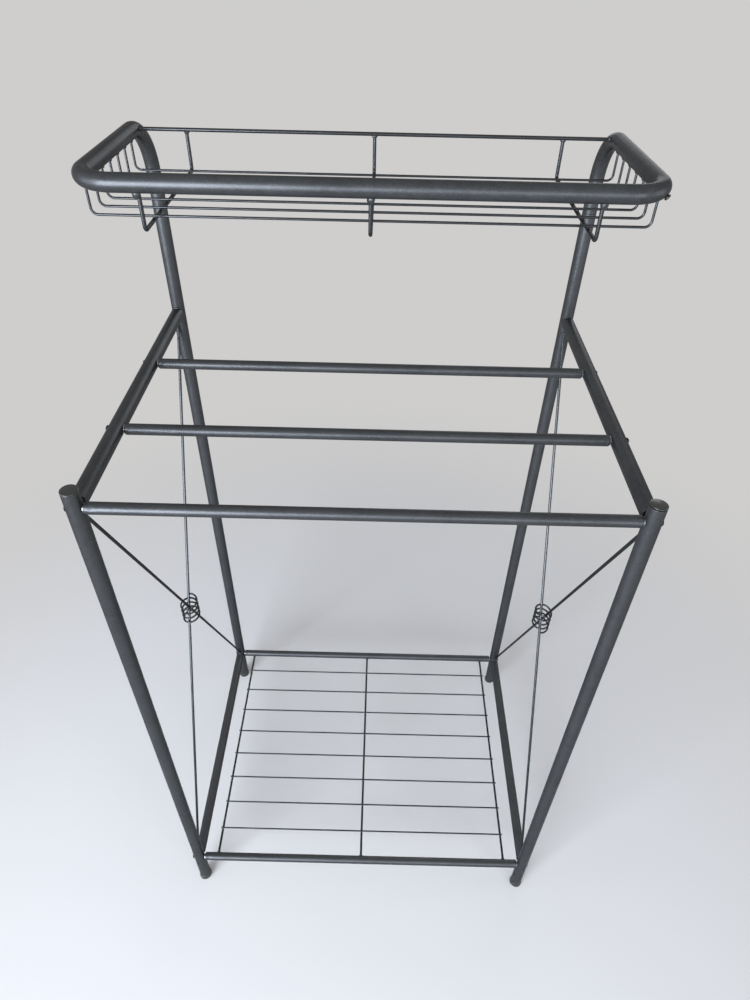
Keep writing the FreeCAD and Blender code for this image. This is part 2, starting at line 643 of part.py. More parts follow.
def lower_shelf():
    """Three runners between the lower rails and the wires that lie across them."""
    reach = "(sizes.frame_depth / 2 - sizes.bar_diameter / 2 - sizes.seat_gap)"
    outer = f"({half_spread} - sizes.runner_inset)"
    for where, x in (("left", f"-{outer}"), ("centre", "0"), ("right", outer)):
        name = f"shelf_runner_{where}"
        keep(round_bar(name, "sizes.runner_diameter", f"2 * {reach}",
                       (x, f"-{reach}", "sizes.lower_rail_height"), "y"), name)
    half_length = f"({outer} + sizes.shelf_wire_overhang)"
    stack = "(sizes.runner_diameter + sizes.shelf_wire_diameter) / 2 + sizes.seat_gap"
    for number in range(1, shelf_wire_count + 1):
        name = f"shelf_wire_{number}"
        y = f"{front_axis} + {number} * sizes.frame_depth / {shelf_wire_count + 1}"
        keep(round_bar(name, "sizes.shelf_wire_diameter", f"2 * {half_length}",
                       (f"-{half_length}", y, f"sizes.lower_rail_height + {stack}"), "x"), name)


# The left coil ends behind the rods, the right one in front of them
coil_turned = {"left": None, "right": FreeCAD.Rotation(upward, half_turn_degrees)}
for side, hand in sides:
    side_frame_seats(side, hand)
    feet_and_caps(side, hand)
    front_leg(side, hand)
    rear_upright(side, hand)
    upright_sleeve(side, hand)
    side_rail(side, hand)
    lower_side_rail(side, hand)
    brace_rod(side, hand, "falling", 1)
    brace_rod(side, hand, "rising", -1)
    brace_coil(side, hand, coil_turned[side])
cross_bars()
joint_screws()
top_frame()
basket()
lower_shelf()
doc.recompute()

# Nothing is written unless every object is sound
for item in doc.Objects:
    if "Invalid" in item.State or "Error" in item.State:
        raise SystemExit(f"{item.Name} is {item.State}")
for piece in sub_parts:
    if piece.Shape.isNull() or not piece.Shape.isValid() or not piece.Shape.Solids:
        raise SystemExit(f"{piece.Label} has no sound solid")

os.makedirs("parts", exist_ok=True)
for piece in sub_parts:
    piece.Shape.exportStep(f"parts/{piece.Label}.step")
print(f"{len(sub_parts)} sub-parts written")
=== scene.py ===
import math

import bpy
import numpy as np
from mathutils import Matrix, Vector


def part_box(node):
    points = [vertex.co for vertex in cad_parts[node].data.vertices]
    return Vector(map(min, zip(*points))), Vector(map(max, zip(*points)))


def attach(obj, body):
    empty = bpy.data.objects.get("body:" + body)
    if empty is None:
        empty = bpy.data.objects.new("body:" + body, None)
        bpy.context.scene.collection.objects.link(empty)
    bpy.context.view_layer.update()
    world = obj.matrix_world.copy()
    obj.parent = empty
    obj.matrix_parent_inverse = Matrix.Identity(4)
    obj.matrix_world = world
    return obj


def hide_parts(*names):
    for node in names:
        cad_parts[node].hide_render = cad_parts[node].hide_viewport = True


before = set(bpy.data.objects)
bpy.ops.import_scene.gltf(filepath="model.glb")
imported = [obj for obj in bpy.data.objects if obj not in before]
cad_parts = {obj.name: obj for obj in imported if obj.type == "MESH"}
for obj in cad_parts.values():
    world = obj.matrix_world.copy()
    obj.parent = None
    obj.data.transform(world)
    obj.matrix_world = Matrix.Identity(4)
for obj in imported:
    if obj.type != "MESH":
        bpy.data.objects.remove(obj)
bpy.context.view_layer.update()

# Looks for a free-standing shelf rack: bent steel tube and wire under one satin powder coat.
# Every tube and wire is a smooth surface that lies where its solid lies.
mm = 0.001
fullTurn = 2 * math.pi
bothSides = (("left", -1), ("right", 1))
places = ("left", "centre", "right")
roundPoints = {"tube": 64, "rail": 48, "bar": 96, "screw": 48, "cap": 48, "plug": 32, "thickWire": 28,
               "wire": 24, "coil": 20, "weld": 20, "bead": 14, "beadLine": 120}     # points once round
print("solids loaded:", len(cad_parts))


# Camera. It stands where the photographer's phone was: just in front of the rack, above it, looking down.
cameraView = {
    "place": (0.0120, -0.7068, 1.3274),
    "pitch": 40.72,      # degrees below level
    "yaw": -0.146,       # degrees to the right
    "roll": 1.294,
    "focal": 24.59,      # mm, for a frame 36 mm high
    "frameHeight": 36,
}


def placeCamera():
    pitch, yaw, roll = (math.radians(cameraView[key]) for key in ("pitch", "yaw", "roll"))
    ahead = Vector((math.sin(yaw) * math.cos(pitch), math.cos(yaw) * math.cos(pitch), -math.sin(pitch)))
    level = Vector((math.cos(yaw), -math.sin(yaw), 0))
    over = level.cross(ahead)
    right = level * math.cos(roll) + over * math.sin(roll)
    top = over * math.cos(roll) - level * math.sin(roll)
    data = bpy.data.cameras.new("photoCamera")
    data.sensor_fit = "VERTICAL"
    data.sensor_height = cameraView["frameHeight"]
    data.lens = cameraView["focal"]
    data.clip_end = 200
    camera = bpy.data.objects.new("photoCamera", data)
    turn = Matrix((right, top, -ahead)).transposed().to_4x4()
    camera.matrix_world = Matrix.Translation(cameraView["place"]) @ turn
    bpy.context.scene.collection.objects.link(camera)
    bpy.context.scene.camera = camera


placeCamera()
bpy.context.scene.view_settings.view_transform = "Standard"
print("camera placed")


# Colours and nodes

def linear(code, alpha=1.0):
    # An sRGB hex colour as linear light: the curve's straight foot below 0.04045, its power above
    channel = np.array([int(code[k:k + 2], 16) for k in (1, 3, 5)]) / 255
    light = np.where(channel <= 0.04045, channel / 12.92, ((channel + 0.055) / 1.055) ** 2.4)
    return (*light.tolist(), alpha)


def addNode(tree, kind, settings, wires=()):
    # Adds a shader node. A setting whose name starts with a dot is the node's own, any other is an input
    node = tree.nodes.new("ShaderNode" + kind)
    for name, value in settings.items():
        if isinstance(name, str) and name.startswith("."):
            setattr(node, name[1:], value)
        else:
            node.inputs[name].default_value = value
    for name, source in wires:
        tree.links.new(source, node.inputs[name])
    return node


def newMaterial(name):
    # Gives the material, its emptied node tree, and the place on the piece that its textures follow
    material = bpy.data.materials.new(name)
    material.use_nodes = True
    tree = material.node_tree
    tree.nodes.clear()
    return material, tree, addNode(tree, "TexCoord", {}).outputs["Object"]


# Satin powder coat: polyester powder with fine metal flake, sprayed on steel and baked.
# The flake spreads each highlight into a wide soft band, the clear binder over it gives light edges,
# and the powder flows out into a faint orange peel, 2 to 3 mm from wave to wave.
powderCoat = {
    "colour": "#4a4c4e",
    "duller": "#3f4143",
    "fleck": "#6b6e71",         # metal flake near the surface
    "fleckSpan": (0.58, 0.74),  # grain noise at which the flake begins, and shows most
    "fleckShare": 0.55,
    "metallic": 0.78,
    "edge": "#8f8f8f",          # how much of a glancing reflection the pigment lets through
    "roughness": (0.38, 0.46),
    "coat": 0.15,
    "coatRoughness": 0.22,
    "peelWave": 2.6,            # mm
    "peelHeight": 0.012,
    "grain": 0.8,               # mm, coarser than the real powder so that it shows
    "grainHeight": 0.007,
    "patch": 70,                # mm, slow change of tone along a tube
    "rub": 9,                   # mm, fine dull rubs where cloths hang
    "wornSpan": (0.15, 0.4),    # patch x rub noise at which the duller colour begins, and is full
}
# The same coat on wire and rod: thinner there and pulled tight by the small radius, so it shines more
wireCoat = dict(powderCoat, colour="#424446", duller="#393b3d", fleck="#505356", metallic=0.85,
                roughness=(0.22, 0.27), peelHeight=0.003, grainHeight=0.002)
noiseSpan = {"From Min": 0.3, "From Max": 0.7}      # most values of a noise texture lie between these


def makePowderCoat(name, look):
    material, tree, place = newMaterial(name)
    noise = {}
    for key, settings in (("patch", {"Detail": 3.0}), ("rub", {"Detail": 6.0, "Roughness": 0.7}),
                          ("grain", {"Detail": 1.0}), ("peelWave", {"Detail": 1.0})):
        made = addNode(tree, "TexNoise", dict(settings, Scale=1 / (look[key] * mm)), [("Vector", place)])
        noise[key] = made.outputs["Fac"]
    worn = addNode(tree, "Math", {".operation": "MULTIPLY"}, [(0, noise["patch"]), (1, noise["rub"])])
    low, high = look["wornSpan"]
    tone = addNode(tree, "MapRange", {"From Min": low, "From Max": high}, [("Value", worn.outputs[0])])
    base = addNode(tree, "Mix", {".data_type": "RGBA", "A": linear(look["colour"]),
                                 "B": linear(look["duller"])}, [("Factor", tone.outputs[0])])
    low, high = look["fleckSpan"]
    bright = addNode(tree, "MapRange", {"From Min": low, "From Max": high, "To Max": look["fleckShare"]},
                     [("Value", noise["grain"])])
    base = addNode(tree, "Mix", {".data_type": "RGBA", "B": linear(look["fleck"])},
                   [("Factor", bright.outputs[0]), ("A", base.outputs["Result"])])
    low, high = look["roughness"]
    gloss = addNode(tree, "MapRange", dict(noiseSpan, **{"To Min": low, "To Max": high}),
                    [("Value", noise["grain"])])
    waves = addNode(tree, "Bump", {"Distance": look["peelHeight"] * mm}, [("Height", noise["peelWave"])])
    powder = addNode(tree, "Bump", {"Distance": look["grainHeight"] * mm},
                     [("Height", noise["grain"]), ("Normal", waves.outputs["Normal"])])
    shader = addNode(tree, "BsdfPrincipled", {
        "Metallic": look["metallic"], "Specular Tint": linear(look["edge"]),
        "Coat Weight": look["coat"], "Coat Roughness": look["coatRoughness"],
    }, [("Base Color", base.outputs["Result"]), ("Roughness", gloss.outputs[0]),
        ("Normal", powder.outputs["Normal"])])
    addNode(tree, "OutputMaterial", {}, [("Surface", shader.outputs[0])])
    return material


# Moulded polyethylene, dark grey: a smooth plug with a soft sheen and a faint flow texture. Sizes in mm.
mouldedPlastic = {"colour": "#292b28", "other": "#30322e", "roughness": 0.17, "ior": 1.51, "spot": 1.2,
                  "detail": 3.0, "height": 0.01}
# The small vent plug is moulded in black and is duller.
plugPlastic = dict(mouldedPlastic, colour="#121312", other="#191a19", roughness=0.3)

# Black oxide on a steel screw: nearly black, with a dull oily shine that breaks up in fine spots.
blackOxide = {"colour": "#141516", "other": "#232425", "metallic": 0.6, "roughness": (0.28, 0.45),
              "spot": 0.9, "detail": 4.0}

# Zinc plate on mild steel, inside the tubes: pale grey, slightly mottled by the bath.
zincPlate = {"colour": "#9a9fa4", "other": "#7d8286", "metallic": 1.0, "roughness": (0.25, 0.45), "spot": 4,
             "detail": 4.0}


def mottled(tree, place, look):
    # Two near colours mixed by a noise. Gives the mix and the noise
    spots = addNode(tree, "TexNoise", {"Scale": 1 / (look["spot"] * mm), "Detail": look["detail"]},
                    [("Vector", place)]).outputs["Fac"]
    base = addNode(tree, "Mix", {".data_type": "RGBA", "A": linear(look["colour"]),
                                 "B": linear(look["other"])}, [("Factor", spots)])
    return base.outputs["Result"], spots


def makePlastic(name, look):
    material, tree, place = newMaterial(name)
    base, flow = mottled(tree, place, look)
    skin = addNode(tree, "Bump", {"Distance": look["height"] * mm}, [("Height", flow)])
    shader = addNode(tree, "BsdfPrincipled", {"Roughness": look["roughness"], "IOR": look["ior"]},
                     [("Base Color", base), ("Normal", skin.outputs["Normal"])])
    addNode(tree, "OutputMaterial", {}, [("Surface", shader.outputs[0])])
    return material


def makeMetal(name, look):
    # A metal whose colour and gloss change a little in spots
    material, tree, place = newMaterial(name)
    base, spots = mottled(tree, place, look)
    low, high = look["roughness"]
    gloss = addNode(tree, "MapRange", dict(noiseSpan, **{"To Min": low, "To Max": high}), [("Value", spots)])
    shader = addNode(tree, "BsdfPrincipled", {"Metallic": look["metallic"]},
                     [("Base Color", base), ("Roughness", gloss.outputs[0])])
    addNode(tree, "OutputMaterial", {}, [("Surface", shader.outputs[0])])
    return material


coat = (makePowderCoat("satinPowderCoat", powderCoat), "powder_coat")
wire = (makePowderCoat("tightPowderCoatOnWire", wireCoat), "powder_coat")
plastic = (makePlastic("mouldedPolyethylene", mouldedPlastic), "dark_plastic")
plug = (makePlastic("blackPolyethylene", plugPlastic), "dark_plastic")
screwBlack = (makeMetal("blackOxideSteel", blackOxide), "black_screw")
zinc = (makeMetal("zincPlatedSteel", zincPlate), "plated_steel")
print("materials made")


# Surfaces. Each is a grid of rows along a path and points round it.

def pieceName(node):
    # A node's name in the way that pieces are named here
    first, *rest = node.split("_")
    return first + "".join(part.title() for part in rest)


def addSurface(rings, poles, finish, node=None, name=None):
    # rings: shells x rows x points round x 3. A shell with poles is closed by a fan at each end, one without
    # poles joins its last row to its first. Faces turn so that their outside is away from the path.
    name = name or pieceName(node)
    shells, rows, columns = rings.shape[:3]
    row = np.arange(rows if poles is None else rows - 1)[:, None]
    column = np.arange(columns)[None, :]
    here, ahead = row * columns, (row + 1) % rows * columns
    after = (column + 1) % columns
    cells = np.stack([here + column, here + after, ahead + after, ahead + column], axis=-1).reshape(-1, 4)
    fans = np.zeros((0, 3), int)
    points = rings.reshape(shells, rows * columns, 3)
    if poles is not None:
        column, after = column[0], after[0]
        last = (rows - 1) * columns
        fans = np.concatenate([
            np.stack([np.full(columns, rows * columns), after, column], axis=1),
            np.stack([np.full(columns, rows * columns + 1), last + column, last + after], axis=1)])
        points = np.concatenate([points, poles], axis=1)
    shift = (np.arange(shells) * points.shape[1])[:, None, None]
    corners = np.concatenate([(cells + shift).ravel(), (fans + shift).ravel()])
    sides = np.concatenate([np.full(len(cells) * shells, 4), np.full(len(fans) * shells, 3)])
    mesh = bpy.data.meshes.new(name)
    mesh.vertices.add(shells * points.shape[1])
    mesh.vertices.foreach_set("co", points.ravel())
    mesh.loops.add(len(corners))
    mesh.loops.foreach_set("vertex_index", corners)
    mesh.polygons.add(len(sides))
    mesh.polygons.foreach_set("loop_start", np.cumsum(sides) - sides)
    mesh.polygons.foreach_set("use_smooth", np.ones(len(sides), bool))
    mesh.update(calc_edges=True)
    mesh.validate()
    material, slot = finish
    mesh.materials.append(material)
    piece = bpy.data.objects.new(name, mesh)
    bpy.context.scene.collection.objects.link(piece)
    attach(piece, "root")
    if node:
        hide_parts(node)


def nodeBox(node):
    # The box round a solid: its lowest and highest corner, its middle and half its size
    low, high = (np.array(corner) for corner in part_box(node))
    return low, high, (low + high) / 2, (high - low) / 2


tubeRadius = nodeBox("front_leg_left")[3][0]


def unit(vectors):
    return vectors / np.linalg.norm(vectors, axis=-1, keepdims=True)


def anglesRound(kind):
    return np.linspace(0, fullTurn, roundPoints[kind], endpoint=False)


def ringsRound(centres, across, heading, radii, kind):
    # A point is its centre plus radius x (cos of the angle x across + sin of the angle x the third
    # direction). radii is one number a row, or one for every point.
    angle = anglesRound(kind)[None, :, None]
    third = np.cross(heading, across)
    radii = np.asarray(radii, float).reshape(len(centres), -1)
    spoke = np.cos(angle) * across[:, None, :] + np.sin(angle) * third[:, None, :]
    return centres[:, None, :] + radii[..., None] * spoke


# Rows of a rounded end: two on its flat or recessed face, those of the rounding, and one behind it at full
# radius, so that the long side shades straight
endRows = {"face": (0.5, 0.93), "rounding": 5, "behind": 1.5}      # shares of the face, rows, times the edge


def endRounding(radius, edge, recess=0.0):
    # From an end's middle outwards: the face, in by the recess, then a quarter circle. Gives depth and radius
    turn = np.linspace(0, math.pi / 2, endRows["rounding"])
    face = np.array(endRows["face"])
    depth = np.concatenate([[recess, recess], edge * (1 - np.cos(turn)), [endRows["behind"] * edge]])
    reach = np.concatenate([face * (radius - edge), radius - edge + edge * np.sin(turn), [radius]])
    return depth, reach


def bentRun(corners, bends, steps=20):
    # A centre line through corner points: straight runs, and at each inner corner an arc of the given
    # radius. An arc's point is its start + radius x (sin t x the way in + (1 - cos t) x the turn's inside).
    corners = [np.asarray(corner, float) for corner in corners]
    spots, headings = [corners[0]], [unit(corners[1] - corners[0])]
    for before, corner, following, bend in zip(corners, corners[1:], corners[2:], bends):
        enter, leave = unit(corner - before), unit(following - corner)
        turn = math.acos(np.dot(enter, leave))
        start = corner - enter * bend * math.tan(turn / 2)
        side = unit(leave - enter * np.dot(enter, leave))
        t = np.linspace(0, turn, steps)[:, None]
        spots.extend(start + bend * (np.sin(t) * enter + (1 - np.cos(t)) * side))
        headings.extend(np.cos(t) * enter + np.sin(t) * side)
    spots.append(corners[-1])
    headings.append(unit(corners[-1] - corners[-2]))
    return np.array(spots), np.array(headings)


def roundedRun(spots, headings, radius, edge, recess=0.0):
    # Adds the rows of both rounded ends to a centre line. Gives centres, headings, radii and the two poles.
    depth, reach = endRounding(radius, edge, recess)
    first = spots[0] + headings[0] * depth[:, None]
    last = spots[-1] - headings[-1] * depth[::-1, None]
    centres = np.concatenate([first, spots[1:-1], last])
    heading = np.concatenate([np.repeat(headings[:1], len(depth), 0), headings[1:-1],
                              np.repeat(headings[-1:], len(depth), 0)])
    radii = np.concatenate([reach, np.full(len(spots) - 2, radius), reach[::-1]])
    poles = np.stack([spots[0] + headings[0] * recess, spots[-1] - headings[-1] * recess])
    return centres, heading, radii, poles


def addRun(corners, bends, radius, edge, flat, finish, node, kind):
    # A tube or wire whose centre line lies in one plane; flat is that plane's normal
    spots, headings = bentRun(corners, bends)
    centres, heading, radii, poles = roundedRun(spots, headings, radius, edge)
    across = unit(np.cross(np.asarray(flat, float), heading))
    rings = ringsRound(centres, across, heading, radii, kind)
    addSurface(rings[None], poles[None], finish, node)


# Weld lumps: rows, waves once round as shares of the size, and radians from one lump's waves to the next's
weldLump = {"rows": 11, "threeWaves": 0.07, "fiveWaves": 0.05}
weldTurn = {"rod": 1.7, "basket": 2.1, "shelf": 1.3}


def lumps(centres, directions, sizes, turn):
    # Ellipsoids with two slow waves round them.
    # A point is its centre plus size x (cos of latitude x a spoke, sin of latitude x the direction).
    centres, sizes = np.asarray(centres, float), np.asarray(sizes, float)
    upward = unit(np.asarray(directions, float))
    helper = np.where(np.abs(upward[:, :1]) > 0.7, [[0.0, 1.0, 0.0]], [[1.0, 0.0, 0.0]])
    side = unit(helper - upward * np.sum(helper * upward, axis=1, keepdims=True))
    third = np.cross(upward, side)
    latitude = np.linspace(-math.pi / 2, math.pi / 2, weldLump["rows"] + 2)[1:-1][None, :, None]
    angle = anglesRound("weld")[None, None, :]
    phase = (np.arange(len(centres)) * turn)[:, None, None]
    wave = (1 + weldLump["threeWaves"] * np.sin(3 * angle + phase)
            + weldLump["fiveWaves"] * np.sin(5 * angle + 2.3 * phase + 2 * latitude))
    spread = np.cos(latitude) * wave
    u = sizes[:, 0, None, None] * spread * np.cos(angle)
    v = sizes[:, 1, None, None] * spread * np.sin(angle)
    w = sizes[:, 2, None, None] * np.sin(latitude) * np.ones_like(angle)
    rings = (centres[:, None, None] + u[..., None] * side[:, None, None] + v[..., None] * third[:, None, None]
             + w[..., None] * upward[:, None, None])
    reach = upward * sizes[:, 2:3]
    return rings, np.stack([centres - reach, centres + reach], axis=1)


# Top frame: one tube, bent four times
topFrame = {
    "cornerBend": 38, "rearBend": 60,       # mm
    "edge": 0.5,
    "flattening": 0.035,                    # share by which a tight bend narrows the tube
    "bendSteps": 32,
}


def makeTopFrame():
    size = topFrame
    radius = tubeRadius
    low, high = nodeBox("top_frame_tube")[:2]
    left, right = low[0] + radius, high[0] - radius
    front, rear = low[1] + radius, high[1] - radius
    foot, level = low[2], high[2] - radius
    corners = [(left, rear, foot), (left, rear, level), (left, front, level), (right, front, level),
               (right, rear, level), (right, rear, foot)]
    bends = [size[key] * mm for key in ("rearBend", "cornerBend", "cornerBend", "rearBend")]
    spots, headings = bentRun(corners, bends, size["bendSteps"])
    centres, heading, radii, poles = roundedRun(spots, headings, radius, size["edge"] * mm)
    sideways = np.cross([0.0, 0.0, 1.0], heading)
    outward = np.where(centres[:, :1] < 0, [[1.0, 0.0, 0.0]], [[-1.0, 0.0, 0.0]])
    inFront = centres[:, 1:2] < rear - size["rearBend"] * mm - mm
    across = unit(np.where(inFront, sideways, outward))
    # In a bend the tube is a little narrower towards the bend's middle: radius x (1 - share x cos squared),
    # and with sin squared and half that share in the wide rear bends. The product of two parts of the heading
    # is greatest half way round the bend
    angle = anglesRound("tube")[None, :]
    tight = np.abs(heading[:, :1] * heading[:, 1:2]) * 2 * size["flattening"]
    wide = np.abs(heading[:, 1:2] * heading[:, 2:3]) * size["flattening"]
    shape = 1 - tight * np.cos(angle) ** 2 - wide * np.sin(angle) ** 2
    rings = ringsRound(centres, across, heading, radii[:, None] * shape, "tube")
    addSurface(rings[None], poles[None], coat, "top_frame_tube")


makeTopFrame()
print("top frame made")


# Legs, uprights, rails and rods of the two side frames
sideFrame = {
    "edge": 0.4,            # mm, rounding of a cut end
    "seat": 0.1,            # mm between a welded end and the post it is shaped to
    "lip": (0.25, 0.6),     # mm back from a shaped end: its edge, and a row that keeps the side straight
    "rodRows": (0.25, 0.5, 0.75, 0.9), "railRows": (0.3, 0.6),      # rows of an end, shares of the radius
    "cutRow": 0.98,
    "bead": 1.15,           # mm, radius of the weld bead round a rail's end
    "beadWave": 0.16, "puddles": (17, 5), "puddleTurn": 40,     # its ripples, once round, radians per m
    "beadFade": 0.55, "beadLeast": 0.08,        # share of the cut's stand-off where it ends, and what is left
    "rodTopGap": 8.0,       # mm from the rail's underside down to the end of a rod's axis
    "rodBottomGap": 7.0,    # mm from the lower rail's top up to the other end
    "rodWeld": (3.2, 3.2, 3.0),
    "cutShort": 3.8,        # mm by which a rail's shallow saddle cut leaves its flanks short of the post
    "wall": 1.2, "hollow": 14,      # mm, wall of a rail and the depth that shows through its open flanks
    "notch": 1.2,           # mm more at the leg, inside and above
    "notchAngle": 62,       # degrees from the top towards the rack's inside
    "notchWidth": 34,       # degrees to either side
}


def makePosts():
    # Straight upright tubes, cut square, with a fine rounded edge that shows as the line of a joint
    for node in ("front_leg_left", "rear_upright_left", "front_leg_right", "rear_upright_right"):
        low, high, (x, y, _), half = nodeBox(node)
        addRun([(x, y, low[2]), (x, y, high[2])], [], half[0], sideFrame["edge"] * mm, (0, 1, 0), coat, node,
               "tube")


def reachPost(points, heading, post, radius):
    # How far from points along heading a vertical post of that radius is met: the near root of
    # |point + distance x heading - post| = radius, in plan
    offset = points[..., :2] - np.asarray(post)[:2]
    flat = heading[:2]
    a = np.dot(flat, flat)
    b = 2 * offset @ flat
    c = np.sum(offset ** 2, axis=-1) - radius ** 2
    return (-b - np.sqrt(b * b - 4 * a * c)) / (2 * a)


def copedRun(middle, heading, radius, posts, postRadius, node, finish, kind, notchSide=0):
    # A straight tube or rod between two posts, both ends shaped to them. From the pole outwards the end's
    # rows are smaller circles, then the tube's own circle laid on the post. A rail is hollow there: its inner
    # rows lie deep inside, and its cut stands off the post by cutShort x sine squared of the angle from the
    # top. Gives both poles and the weld beads.
    size, rail = sideFrame, kind == "rail"
    heading = unit(np.asarray(heading, float))
    across = unit(np.cross([1.0, 0.0, 0.0] if abs(heading[0]) < 0.5 else [0.0, 1.0, 0.0], heading))
    third = np.cross(heading, across)
    inner, deep = 1 - size["wall"] * mm / radius, size["hollow"]
    rows, depths = size["rodRows"], (0, 0, 0, 0, 0)
    if rail:
        rows, depths = (*size["railRows"], inner, inner), (deep, deep, deep, 0, 0)
    shares = np.array([*rows, size["cutRow"], 1, 1])
    inset = np.array([*depths, *size["lip"]]) * mm

    def standOff(turns, end):
        # Flanks of the cut, and at the first end a smooth bell round the notch, on the side of notchSide
        away = (turns - notchSide * math.radians(size["notchAngle"]) + math.pi) % fullTurn - math.pi
        share = np.minimum(np.abs(away) / math.radians(size["notchWidth"]), 1)
        bell = abs(notchSide) * (1 - share ** 2) ** 2 if end == 0 else 0
        return rail * mm * (size["cutShort"] * np.sin(turns) ** 2 + size["notch"] * bell)

    def spoke(turns):
        return np.cos(turns)[:, None] * across + np.sin(turns)[:, None] * third

    middle = np.asarray(middle, float)
    angle, fine = anglesRound(kind), anglesRound("beadLine")
    cut = middle + shares[:, None, None] * radius * spoke(angle)
    edge = middle + radius * spoke(fine)
    ends, beads, poles = [], [], []
    for end, sign in ((0, -1), (1, 1)):
        toward, post = sign * heading, posts[end]
        distance = reachPost(cut, toward, post, postRadius) - inset[:, None]
        distance[inset < deep * mm / 2] -= standOff(angle, end)
        ends.append(cut + distance[..., None] * toward)
        poles.append(middle + (reachPost(middle[None], toward, post, postRadius) - inset[0]) * toward)
        # Weld bead: a torus whose centre line is the cut edge and whose radius ripples like a row of puddles.
        # It thins out where the cut stands off the post.
        line = edge + (reachPost(edge, toward, post, postRadius) - standOff(fine, end))[:, None] * toward
        along = unit(np.roll(line, -1, 0) - np.roll(line, 1, 0))
        outward = spoke(fine)
        outward = unit(outward - along * np.sum(outward * along, axis=1, keepdims=True))
        wave, (many, few) = size["beadWave"], size["puddles"]
        shift = size["puddleTurn"] * middle[0]
        ripple = 1 + wave * np.sin(many * fine) ** 2 + wave * np.sin(few * fine + shift)
        gone = standOff(fine, end) / (size["beadFade"] * size["cutShort"] * mm)
        thin = np.clip(1 - gone, size["beadLeast"], 1)
        beads.append(ringsRound(line, outward, along, size["bead"] * mm * ripple * thin, "bead"))
    addSurface(np.concatenate([ends[0], ends[1][::-1]])[None], np.stack(poles)[None], finish, node)
    return poles, beads


def makeSideFrames():
    tips = []
    for side, hand in bothSides:
        _, legHigh, leg, half = nodeBox(f"front_leg_{side}")
        uprightLow, _, upright, _ = nodeBox(f"rear_upright_{side}")
        posts = [leg, upright]
        postRadius = half[0] + sideFrame["seat"] * mm
        for kind, notchSide in (("side_rail", -hand), ("lower_side_rail", 0)):
            node = f"{kind}_{side}"
            _, _, (_, y, z), half = nodeBox(node)
            _, beads = copedRun((leg[0], y, z), (0, 1, 0), half[0], posts, postRadius, node, coat, "rail",
                                notchSide)
            addSurface(np.stack(beads), None, coat, name=f"{pieceName(node)}Welds")
        top = nodeBox(f"side_rail_{side}")[0][2] - sideFrame["rodTopGap"] * mm
        bottom = nodeBox(f"lower_side_rail_{side}")[1][2] + sideFrame["rodBottomGap"] * mm
        leaning = math.atan2(uprightLow[1] - legHigh[1], top - bottom)
        for kind, lean in (("falling", 1), ("rising", -1)):
            node = f"brace_rod_{kind}_{side}"
            _, _, middle, half = nodeBox(node)
            heading = np.array([0, -lean * math.sin(leaning), math.cos(leaning)])
            ends, _ = copedRun(middle, heading, half[0], posts[::-lean], postRadius, node, wire, "wire")
            tips += ends
    tips = np.array(tips)
    inward = np.stack([np.zeros(len(tips)), -np.sign(tips[:, 1]), np.zeros(len(tips))], axis=1)
    sizes = np.tile(np.array(sideFrame["rodWeld"]) * mm, (len(tips), 1))
    rings, poles = lumps(tips, inward, sizes, weldTurn["rod"])
    addSurface(rings, poles, coat, name="rodWelds")


makePosts()
makeSideFrames()
print("side frames made")


# Coils of the two crossings: an open right-handed oval helix of four turns, a little deeper than wide, whose
# last quarter turn at each end levels out into a short straight tail. A point is half width x cos, half depth
# x sin of the angle. Height grows evenly with the angle, and over an end quarter by a cubic with a flat end.
# The left coil ends behind the rods and the right one, the same shape turned half round, in front of them.
coilShape = {"turns": 4, "pitch": 10.0, "halfWidth": 12.49, "halfDepth": 14.59, "wire": 1.39, "tail": 2.8,
             "edge": 0.35, "stepsPerQuarter": 14}


def makeCoils():
    size = coilShape
    halfWidth, halfDepth, thick = (size[key] * mm for key in ("halfWidth", "halfDepth", "wire"))
    pitch, tail = size["pitch"] * mm, size["tail"] * mm
    quarters = size["turns"] * 4
    step = np.linspace(0, quarters, quarters * size["stepsPerQuarter"] + 1)
    angle = (1 - quarters + step) * math.pi / 2
    last = quarters - 1

    def eased(t):
        return pitch / 4 * (t + t * t - t ** 3)      # slope of a turn at its start, level at its end

    height = np.where(step < 1, pitch / 4 - eased(1 - step), step * pitch / 4)
    height = np.where(step > last, last * pitch / 4 + eased(step - last), height)
    height -= quarters * pitch / 8
    spots = np.stack([halfWidth * np.cos(angle), halfDepth * np.sin(angle), height], axis=1)
    leave = np.array([-1.0, 0.0, 0.0])      # both ends run along the back of the oval
    spots = np.concatenate([[spots[0] - leave * tail], spots, [spots[-1] + leave * tail]])
    headings = unit(np.gradient(spots, axis=0))
    headings[:2], headings[-2:] = leave, leave
    for side, hand in bothSides:
        middle = nodeBox(f"brace_coil_{side}")[2]
        middle[0] = nodeBox(f"front_leg_{side}")[2][0]
        turn = np.array([-hand, -hand, 1.0])
        centres, heading, radii, poles = roundedRun(spots * turn + middle, headings * turn, thick,
                                                    size["edge"] * mm)
        inward = middle - centres
        inward[:, 2] = 0
        across = unit(inward - heading * np.sum(inward * heading, axis=1, keepdims=True))
        rings = ringsRound(centres, across, heading, radii, "coil")
        addSurface(rings[None], poles[None], wire, f"brace_coil_{side}")


makeCoils()
print("coils made")


# Bars across the rack: straight tubes whose rounded, open ends stand a little off the posts. Near each end
# a punch has staked the threaded insert, which leaves a shallow round dent on the upper front side.
barShape = {
    "edge": 1.6, "recess": 3.5, "standOff": 1.0,     # mm: rounded lip, open end behind it, gap to the post
    "stake": (9.0, 6.0),                             # mm in from the left and the right post
    "stakeWidth": 4.2, "stakeDepth": 0.35, "stakeAngle": 40,
    "dentReach": 18.0, "dentRows": 48,               # mm from an end, and rows there, that carry the dent
}
